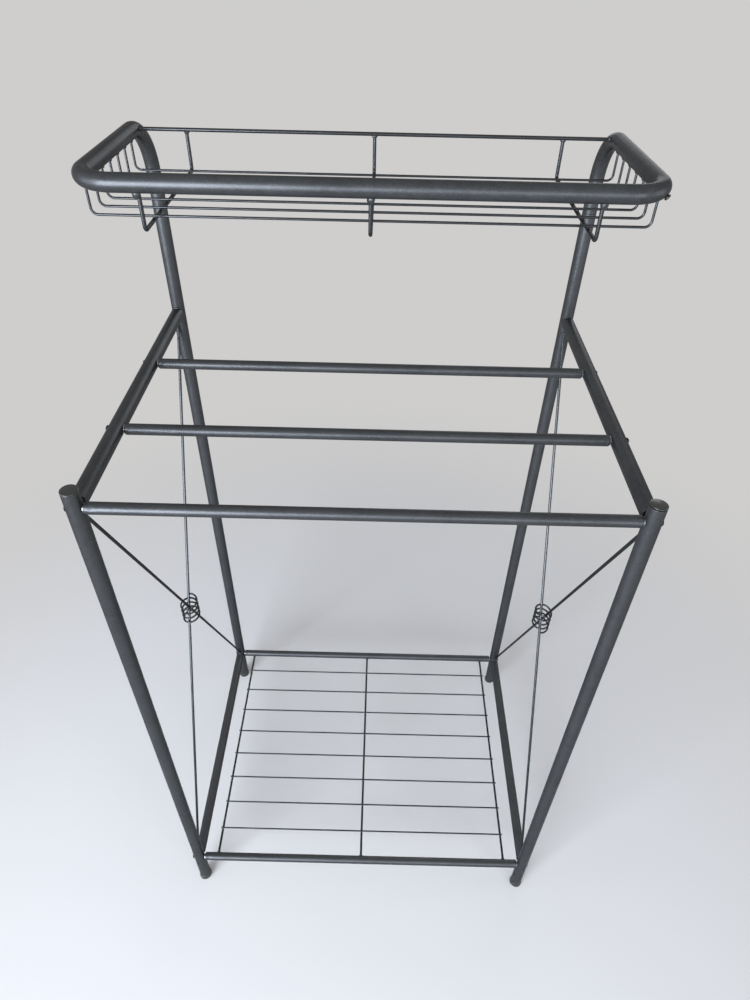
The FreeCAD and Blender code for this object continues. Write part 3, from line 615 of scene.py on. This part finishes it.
# The bars, and the heads of the screws at their left and right ends
bars = {"front_bar": ("low", "low"), "middle_bar": ("button", "button"), "rear_bar": ("low", "low"),
        "lower_front_rail": ("button", "low"), "lower_rear_rail": ("low", "low")}


def makeBars():
    size = barShape
    for node in bars:
        low, high, middle, half = nodeBox(node)
        radius = half[1]
        near = np.linspace(2 * size["edge"], size["dentReach"], size["dentRows"]) * mm
        first, last = low[0] + size["standOff"] * mm, high[0] - size["standOff"] * mm
        spots = np.concatenate([[first], first + near, last - near[::-1], [last]])
        spots = np.stack([spots, np.full(len(spots), middle[1]), np.full(len(spots), middle[2])], axis=1)
        headings = np.tile([1.0, 0.0, 0.0], (len(spots), 1))
        centres, heading, radii, poles = roundedRun(spots, headings, radius, size["edge"] * mm,
                                                    size["recess"] * mm)
        angle = anglesRound("bar")[None, :]
        across = np.tile([0.0, -1.0, 0.0], (len(centres), 1))
        # Dent: depth x a smooth bell of the distance, over the surface, from the punch mark
        toward = np.radians(size["stakeAngle"])
        aside = (angle + toward + math.pi) % fullTurn - math.pi
        along = np.minimum(np.abs(centres[:, :1] - low[0] - size["stake"][0] * mm),
                           np.abs(high[0] - centres[:, :1] - size["stake"][1] * mm))
        away = np.sqrt((aside * radius) ** 2 + along ** 2) / (size["stakeWidth"] * mm)
        bell = np.where(away < 1, (1 - np.minimum(away, 1) ** 2) ** 2, 0)
        shape = radii[:, None] - size["stakeDepth"] * mm * bell
        rings = ringsRound(centres, across, heading, shape, "bar")
        addSurface(rings[None], poles[None], coat, node)


makeBars()
print("bars made")


# Basket and lower shelf: drawn wire, resistance-welded where two wires cross and arc-welded to the tubes
wireShape = {
    "edge": 0.3, "crossBend": 5.0, "longBend": 6.5, "longWires": 7, "shelfWires": 8,
    "tubeWeld": (3.8, 3.3, 4.8),        # mm, lump where a cross wire meets the front tube
    "tubeWeldShift": (-1.7, 0.3, 0.7),  # mm sideways, left, centre and right
    "tubeWeldPlace": (0.8, 0.9),        # mm in front of the wire's middle, and below the tube
    "tubeWeldWay": (0, 0.25, -1),
    "rearWeld": (3.1, 2.8, 2.3), "rearWeldSink": 0.2,
    "armWeld": (2.7, 2.6, 2.3), "armWeldSink": 0.3,
    "endWeld": (3.5, 3.5, 2.5),
    "runnerWeld": (3.1, 3.1, 2.5),
    "nugget": (1.8, 1.8, 0.95),
}


def straightWire(node, along, kind):
    # A wire along axis 0 or 1 through the middle of its solid's box. Gives its ends and radius
    low, high, middle, half = nodeBox(node)
    first, last = middle.copy(), middle.copy()
    first[along], last[along] = low[along], high[along]
    radius = half[along - 1]
    addRun([first, last], [], radius, wireShape["edge"] * mm, np.eye(3)[1 - along], wire, node, kind)
    return first, last, radius


def addWelds(name, welds, turn):
    # welds: the place, the direction and the name of the size of each lump
    spots, directions, keys = zip(*welds)
    rings, poles = lumps(spots, directions, [np.array(wireShape[key]) * mm for key in keys], turn)
    addSurface(rings, poles, coat, name=name)


def makeBasket():
    size = wireShape
    edge, up, down = size["edge"] * mm, (0, 0, 1), (0, 0, -1)
    ahead, below = (part * mm for part in size["tubeWeldPlace"])
    underTube = nodeBox("top_frame_tube")[1][2] - 2 * tubeRadius - sideFrame["seat"] * mm
    welds, crossings = [], []
    for where, shift in zip(places, size["tubeWeldShift"]):
        node = f"basket_cross_wire_{where}"
        low, high, (x, _, _), (radius, _, _) = nodeBox(node)
        front, rear, floor = low[1] + radius, high[1] - radius, low[2] + radius
        addRun([(x, front, underTube), (x, front, floor), (x, rear, floor), (x, rear, high[2])],
               [size["crossBend"] * mm] * 2, radius, edge, (1, 0, 0), wire, node, "thickWire")
        welds += [((x + shift * mm, front - ahead, underTube - below), size["tubeWeldWay"], "tubeWeld"),
                  ((x, rear, high[2] - size["rearWeldSink"] * mm), down, "rearWeld")]
        crossings.append((x, floor + radius))
    for number in range(1, size["longWires"] + 1):
        node = f"basket_long_wire_{number}"
        low, high, (_, y, _), (_, radius, _) = nodeBox(node)
        left, right, floor, top = low[0] + radius, high[0] - radius, low[2] + radius, high[2]
        addRun([(left, y, top), (left, y, floor), (right, y, floor), (right, y, top)],
               [size["longBend"] * mm] * 2, radius, edge, (0, 1, 0), wire, node, "wire")
        welds += [((x, y, top - size["armWeldSink"] * mm), down, "armWeld") for x in (left, right)]
        welds += [((x, y, height), up, "nugget") for x, height in crossings]
    first, last, _ = straightWire("basket_rear_wire", 0, "thickWire")
    welds += [(spot, (np.sign(spot[0]), 0, 0), "endWeld") for spot in (first, last)]
    addWelds("basketWelds", welds, weldTurn["basket"])


def makeShelf():
    welds, runners = [], []
    for where in places:
        first, last, radius = straightWire(f"shelf_runner_{where}", 1, "thickWire")
        welds += [(spot, (0, -np.sign(spot[1]), 0), "runnerWeld") for spot in (first, last)]
        runners.append((first[0], first[2] + radius))
    for number in range(1, wireShape["shelfWires"] + 1):
        first = straightWire(f"shelf_wire_{number}", 0, "wire")[0]
        welds += [((x, first[1], height), (0, 0, 1), "nugget") for x, height in runners]
    addWelds("shelfWelds", welds, weldTurn["shelf"])


makeBasket()
makeShelf()
print("basket and shelf made")


# Turned pieces: an outline of height and radius carried round an axis
def turned(outline, base, axis, finish, node, kind, name=None, tilt=(0, 0), tiltFrom=0):
    # A point is base + height x axis + radius x spoke. The first and last outline points are the poles.
    # From row tiltFrom on, points also rise along the axis by tilt x their offset to the right and back.
    outline = np.asarray(outline, float) * mm
    axis = unit(np.asarray(axis, float))
    helper = np.array([1.0, 0.0, 0.0]) if abs(axis[0]) < 0.7 else np.array([0.0, 1.0, 0.0])
    across = unit(helper - axis * np.dot(helper, axis))
    centres = base + outline[:, :1] * axis
    rings = ringsRound(centres[1:-1], across[None], axis[None], outline[1:-1, 1], kind)
    rise = (rings[tiltFrom:, :, :2] - base[:2]) @ np.asarray(tilt, float)
    rings[tiltFrom:] += rise[..., None] * axis
    addSurface(rings[None], centres[[0, -1]][None], finish, node, name)


def quarter(height, radius, bend, first, last, steps):
    # Part of a circle in the outline: middle (height, radius), angles first to last, from the axis
    t = np.radians(np.linspace(first, last, steps))
    return [(height + bend * a, radius + bend * b) for a, b in zip(np.cos(t), np.sin(t))]


# Plug on a front leg: a low dome inside a rounded rim. Its head stands off the tube: a dark seam. In mm
legCap = {
    "dome": 0.4, "domeRows": (0.96, 0.08, 9),   # shares of the dome's radius, first and last, and rows
    "rim": 1.0, "lowerEdge": 0.2, "ledge": 0.2,
    "stem": 14, "stemRadius": 7.65, "taper": (1, 0.8),      # taper at the stem's tip: height, radius
    "lift": {"left": 0.15, "right": 0.85},
    "tilt": {"left": (0, 0), "right": (-0.055, -0.05)},     # rise of the head per mm to the right and back
    "stemRows": 3,      # rows that the tilt leaves alone
}
# Foot: a moulded cup with a rounded lower edge, whose wall flares from the tube's own width
footShape = {"inset": 0.01, "rounding": 3.5, "collar": 9.15, "flare": 5.2, "flareRows": 9, "ledge": 0.3,
             "stem": 18, "stemRadius": 7.65, "taper": (1, 0.8)}
# Plug of the vent hole under the right front corner
ventPlug = {"headRadius": 3.25, "head": 2.6, "side": 0.55, "edge": 0.7, "lowerEdge": 0.2, "neck": 0.3,
            "dome": 0.6, "domeRows": (0.85, 0.6, 0.3, 0.1), "stemRadius": 2.0, "stem": 4.0,
            "turn": 32, "angle": 36}    # degrees round the corner bend, and below level


def makeLegCap(side):
    size = legCap
    node = f"front_leg_cap_{side}"
    _, high, (x, y, _), half = nodeBox(node)
    legTop = nodeBox(f"front_leg_{side}")[1][2]
    radius, height = half[0] / mm, (high[2] - legTop) / mm
    rim, lower, ledge, dome = (size[key] for key in ("rim", "lowerEdge", "ledge", "dome"))
    stem, inner = size["stem"], size["stemRadius"]
    rise, narrow = size["taper"]
    lift = size["lift"][side]
    outline = [(-stem, 0), (-stem, inner - narrow), (rise - stem, inner), (lift - 0.02, inner),
               (lift, inner + ledge), (lift, radius - lower - ledge)]
    outline += quarter(lift + lower, radius - lower, lower, 180, 90, 5)
    outline += quarter(height - dome - rim, radius - rim, rim, 90, 8, 8)
    # The dome's height falls with the square of the share of its radius
    outline += [(height - dome * s * s, (radius - rim) * s) for s in np.linspace(*size["domeRows"])]
    outline += [(height, 0)]
    turned(outline, np.array([x, y, legTop]), (0, 0, 1), plastic, node, "cap", f"legCap{side.title()}",
           size["tilt"][side], size["stemRows"])


def makeFoot(end, side):
    size = footShape
    node = f"foot_{end}_{side}"
    low, _, (x, y, _), half = nodeBox(node)
    post = f"front_leg_{side}" if end == "front" else f"rear_upright_{side}"
    radius = half[0] / mm - size["inset"]
    height = (nodeBox(post)[0][2] - low[2]) / mm
    bend, collar, stem, inner = (size[key] for key in ("rounding", "collar", "stem", "stemRadius"))
    rise, narrow = size["taper"]
    outline = [(0, 0), (0, 0.5 * (radius - bend)), (0, radius - bend - 0.1)]
    outline += quarter(bend, radius - bend, bend, 180, 90, 10)
    # Flare: a half wave, collar + (radius - collar) x (1 + cos) / 2
    share = np.linspace(0, 1, size["flareRows"])
    outline += list(zip(height - size["flare"] * (1 - share),
                        collar + (radius - collar) * (1 + np.cos(math.pi * share)) / 2))
    outline += [(height, inner + size["ledge"]), (height, inner), (height + stem - rise, inner),
                (height + stem, inner - narrow), (height + stem, 0)]
    turned(outline, np.array([x, y, low[2]]), (0, 0, 1), plastic, node, "cap")


def makeVentPlug():
    size = ventPlug
    low, high = nodeBox("top_frame_tube")[:2]
    turn, below, bend = math.radians(size["turn"]), math.radians(size["angle"]), topFrame["cornerBend"] * mm
    outward = np.array([math.cos(turn), -math.sin(turn), 0])
    axis = math.cos(below) * outward - np.array([0, 0, math.sin(below)])
    corner = np.array([high[0] - tubeRadius - bend, low[1] + tubeRadius + bend, high[2] - tubeRadius])
    radius, head, edge, inner = (size[key] for key in ("headRadius", "head", "edge", "stemRadius"))
    outline = [(-size["stem"], 0), (-size["stem"], inner), (-size["neck"], inner),
               (0, radius - size["lowerEdge"]), (size["lowerEdge"], radius)]
    outline += quarter(head * size["side"], radius - edge, edge, 90, 20, 5)
    outline += [(head - size["dome"] * s * s, (radius - edge) * s) for s in size["domeRows"]] + [(head, 0)]
    turned(outline, corner + bend * outward + axis * tubeRadius, axis, plug, "corner_vent_plug", "plug")


# Screws: a domed head with a hexagon socket, in mm. From the socket's middle outwards the rows go along its
# floor, up its six-sided wall, and widen from hexagon to circle over the dome: radius = a mix of the two,
# height = the dome's
screwHeads = {
    "button": {"radius": 4.0, "height": 3.0, "dome": 5.0, "socket": 1.5, "depth": 1.6},
    "low": {"radius": 4.0, "height": 0.6, "dome": 24.0, "socket": 1.5, "depth": 0.45},
}
screwShape = {
    "shank": 2.5, "tip": (0.5, 0.7),            # radius, and the tip's height and share of that radius
    "rim": 0.15, "least": 0.2,                  # rounding of the head's lower edge, least height over it
    "headRows": (0.0, 0.05, 0.25, 0.5, 0.75, 0.9, 0.98, 1.0),      # shares of the hexagon in the mix
    "lip": (0.12, 0.94),                        # below the socket's edge, and share of its width
    "socketRows": ((0.05, 0.93), (0, 0.88), (0, 0.4)),      # over the socket's floor, and shares of its width
    "pastTube": 10.1,                           # length in the bar
    "jointDrop": 15, "jointLength": 8,          # below the upright's top
}


def screwRings(head, base, axis, length):
    size, shape = screwHeads[head], screwShape
    angle = anglesRound("screw")
    sector = math.pi / 3
    hexagon = size["socket"] * math.cos(sector / 2) / np.cos(angle % sector - sector / 2)
    floor, rim, shank = size["height"] - size["depth"], size["radius"] - shape["rim"], shape["shank"]

    def domed(radius):
        return size["height"] - size["dome"] + np.sqrt(size["dome"] ** 2 - radius ** 2)

    rise, narrow = shape["tip"]
    rows = [(-length, shank * narrow), (rise - length, shank), (0, shank), (0, rim),
            (shape["rim"], size["radius"])]
    for share in shape["headRows"]:
        radius = (1 - share) * rim + share * hexagon
        rows.append((np.maximum(domed(radius), shape["least"]), radius))
    sink, narrow = shape["lip"]
    rows.append((domed(hexagon) - sink, hexagon * narrow))
    rows += [(floor + over, hexagon * share) for over, share in shape["socketRows"]]
    heights, radii = (np.stack([row[k] + 0 * angle for row in rows]) * mm for k in (0, 1))
    axis, upward = np.array([axis], float), np.array([[0.0, 0.0, 1.0]])       # every screw lies level
    rings = ringsRound(np.tile(base, (len(rows), 1)), upward, axis, radii, "screw")
    rings += heights[..., None] * axis
    return rings, np.concatenate([base - length * mm * axis, base + floor * mm * axis])


def makeScrews():
    made = {"button": [], "low": [], "joint": []}
    outside = nodeBox("front_leg_right")[1][0]
    length = 2 * tubeRadius / mm + screwShape["pastTube"]
    for node, heads in bars.items():
        _, y, z = nodeBox(node)[2]
        for (_, hand), head in zip(bothSides, heads):
            base = np.array([hand * outside, y, z])
            made[head].append(screwRings(head, base, (hand, 0, 0), length))
    for side, _ in bothSides:
        _, high, middle, _ = nodeBox(f"rear_upright_{side}")
        base = np.array([middle[0], high[1], high[2] - screwShape["jointDrop"] * mm])
        made["joint"].append(screwRings("low", base, (0, 1, 0), screwShape["jointLength"]))
    for kind, node in (("button", "bar_button_screws"), ("low", "bar_low_screws"),
                       ("joint", "upright_joint_screws")):
        rings, poles = (np.stack(part) for part in zip(*made[kind]))
        addSurface(rings, poles, screwBlack, node)


for side, _ in bothSides:
    makeLegCap(side)
    makeFoot("front", side)
    makeFoot("rear", side)
makeVentPlug()
makeScrews()
for node in ("bar_end_inserts", "upright_sleeve_left", "upright_sleeve_right"):
    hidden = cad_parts[node]
    hidden.data.materials.clear()
    hidden.data.materials.append(zinc[0])
print("caps, feet and screws made")


# Studio: a matt pale floor that passes into an even backdrop, a window-like softbox on the left in front,
# weaker ones at the other sides
studio = {
    "floor": "#dcdbda",
    "floorLift": 0.06,          # share of its paleness that is seen regardless of light, under the rack
    "floorCentre": (0, 0, 0),
    "floorFade": (0.5, 1.45),   # m: where the matt floor begins to fade, and the backdrop is all there is
    "floorReach": 60,           # m
    "vinylGrain": 900.0, "vinylHeight": 0.0001, "vinylStrength": 0.3,
    "horizon": 0.87, "zenith": 0.84, "fall": (0.1, 0.75), "ambient": 0.26,
}
# Soft lamps: place, aim, width and height in m, radiance, colour
lamps = {
    "window": ((-1.60, -2.50, 1.20), (0, 0, 0.90), (2.0, 1.9), 16.5, "#e9f0fc"),
    "front": ((0.35, -3.20, 1.20), (0, 0, 0.90), (2.4, 1.5), 2.8, "#eef2fb"),
    "right": ((1.95, -2.30, 1.20), (0, 0, 0.90), (0.8, 1.4), 6.0, "#eef2fb"),
    "left": ((-2.8, -0.7, 1.10), (0, 0, 0.7), (1.3, 1.4), 2.6, "#e6eeff"),
    "side": ((2.8, -0.2, 1.10), (0, 0, 0.7), (1.3, 1.4), 2.2, "#eef2fb"),
    "rear": ((0.9, 2.7, 1.6), (0, 0, 0.8), (1.8, 1.4), 1.8, "#f4f6fb"),
}


def seenRays(tree):
    # 1 where a ray comes from the camera, a mirror-like reflection or a see-through surface, else 0
    rays = addNode(tree, "LightPath", {})
    seen = addNode(tree, "Math", {".operation": "MAXIMUM"},
                   [(0, rays.outputs["Is Camera Ray"]), (1, rays.outputs["Is Glossy Ray"])])
    seen = addNode(tree, "Math", {".operation": "MAXIMUM"},
                   [(0, seen.outputs[0]), (1, rays.outputs["Is Transmission Ray"])])
    return seen.outputs[0]


def makeFloor():
    material, tree, place = newMaterial("mattStudioVinyl")
    pale = linear(studio["floor"])
    grain = addNode(tree, "TexNoise", {"Scale": studio["vinylGrain"], "Detail": 2.0}, [("Vector", place)])
    skin = addNode(tree, "Bump", {"Distance": studio["vinylHeight"], "Strength": studio["vinylStrength"]},
                   [("Height", grain.outputs["Fac"])])
    away = addNode(tree, "VectorMath", {".operation": "DISTANCE", 1: studio["floorCentre"]}, [(0, place)])
    nearest, furthest = studio["floorFade"]
    gone = addNode(tree, "MapRange", {".interpolation_type": "SMOOTHSTEP", "From Min": nearest,
                                      "From Max": furthest}, [("Value", away.outputs["Value"])])
    tone = addNode(tree, "Mix", {".data_type": "RGBA", "A": pale, "B": (0, 0, 0, 1)},
                   [("Factor", gone.outputs[0])])
    matt = addNode(tree, "BsdfDiffuse", {}, [("Color", tone.outputs["Result"]),
                                             ("Normal", skin.outputs["Normal"])])
    lift = addNode(tree, "MapRange", {"To Min": studio["floorLift"], "To Max": studio["horizon"]},
                   [("Value", gone.outputs[0])])
    glow = addNode(tree, "Emission", {"Color": pale}, [("Strength", lift.outputs[0])])
    both = addNode(tree, "AddShader", {}, [(0, matt.outputs[0]), (1, glow.outputs[0])])
    mix = addNode(tree, "MixShader", {}, [(0, seenRays(tree)), (1, matt.outputs[0]), (2, both.outputs[0])])
    addNode(tree, "OutputMaterial", {}, [("Surface", mix.outputs[0])])
    reach = studio["floorReach"] / 2
    mesh = bpy.data.meshes.new("studioFloor")
    mesh.from_pydata([(-reach, -reach, 0), (reach, -reach, 0), (reach, reach, 0), (-reach, reach, 0)], [],
                     [(0, 1, 2, 3)])
    mesh.materials.append(material)
    floor = bpy.data.objects.new("studioFloor", mesh)
    bpy.context.scene.collection.objects.link(floor)


def makeWorld():
    world = bpy.data.worlds.new("studioWorld")
    world.use_nodes = True
    tree = world.node_tree
    tree.nodes.clear()
    heading = addNode(tree, "TexCoord", {}).outputs["Generated"]
    height = addNode(tree, "SeparateXYZ", {}, [("Vector", heading)])
    lowest, highest = studio["fall"]
    fall = addNode(tree, "MapRange", {".interpolation_type": "SMOOTHSTEP", "From Min": lowest,
                                      "From Max": highest, "To Min": studio["horizon"],
                                      "To Max": studio["zenith"]}, [("Value", height.outputs["Z"])])
    strength = addNode(tree, "Mix", {".data_type": "FLOAT", "A": studio["ambient"]},
                       [("Factor", seenRays(tree)), ("B", fall.outputs[0])])
    light = addNode(tree, "Background", {"Color": linear(studio["floor"])},
                    [("Strength", strength.outputs[0])])
    addNode(tree, "OutputWorld", {}, [("Surface", light.outputs[0])])
    bpy.context.scene.world = world


def makeLamp(name, place, aim, size, radiance, colour):
    # A lamp's power is its radiance x pi x its area
    width, height = size
    data = bpy.data.lights.new(name, "AREA")
    data.shape = "RECTANGLE"
    data.size, data.size_y = width, height
    data.energy = radiance * math.pi * width * height
    data.color = linear(colour)[:3]
    lamp = bpy.data.objects.new(name, data)
    lamp.location = place
    lamp.rotation_euler = (Vector(aim) - Vector(place)).to_track_quat("-Z", "Y").to_euler()
    lamp.visible_camera = False
    bpy.context.scene.collection.objects.link(lamp)


makeFloor()
makeWorld()
for lamp, values in lamps.items():
    makeLamp(f"{lamp}Softbox", *values)
print("studio made")
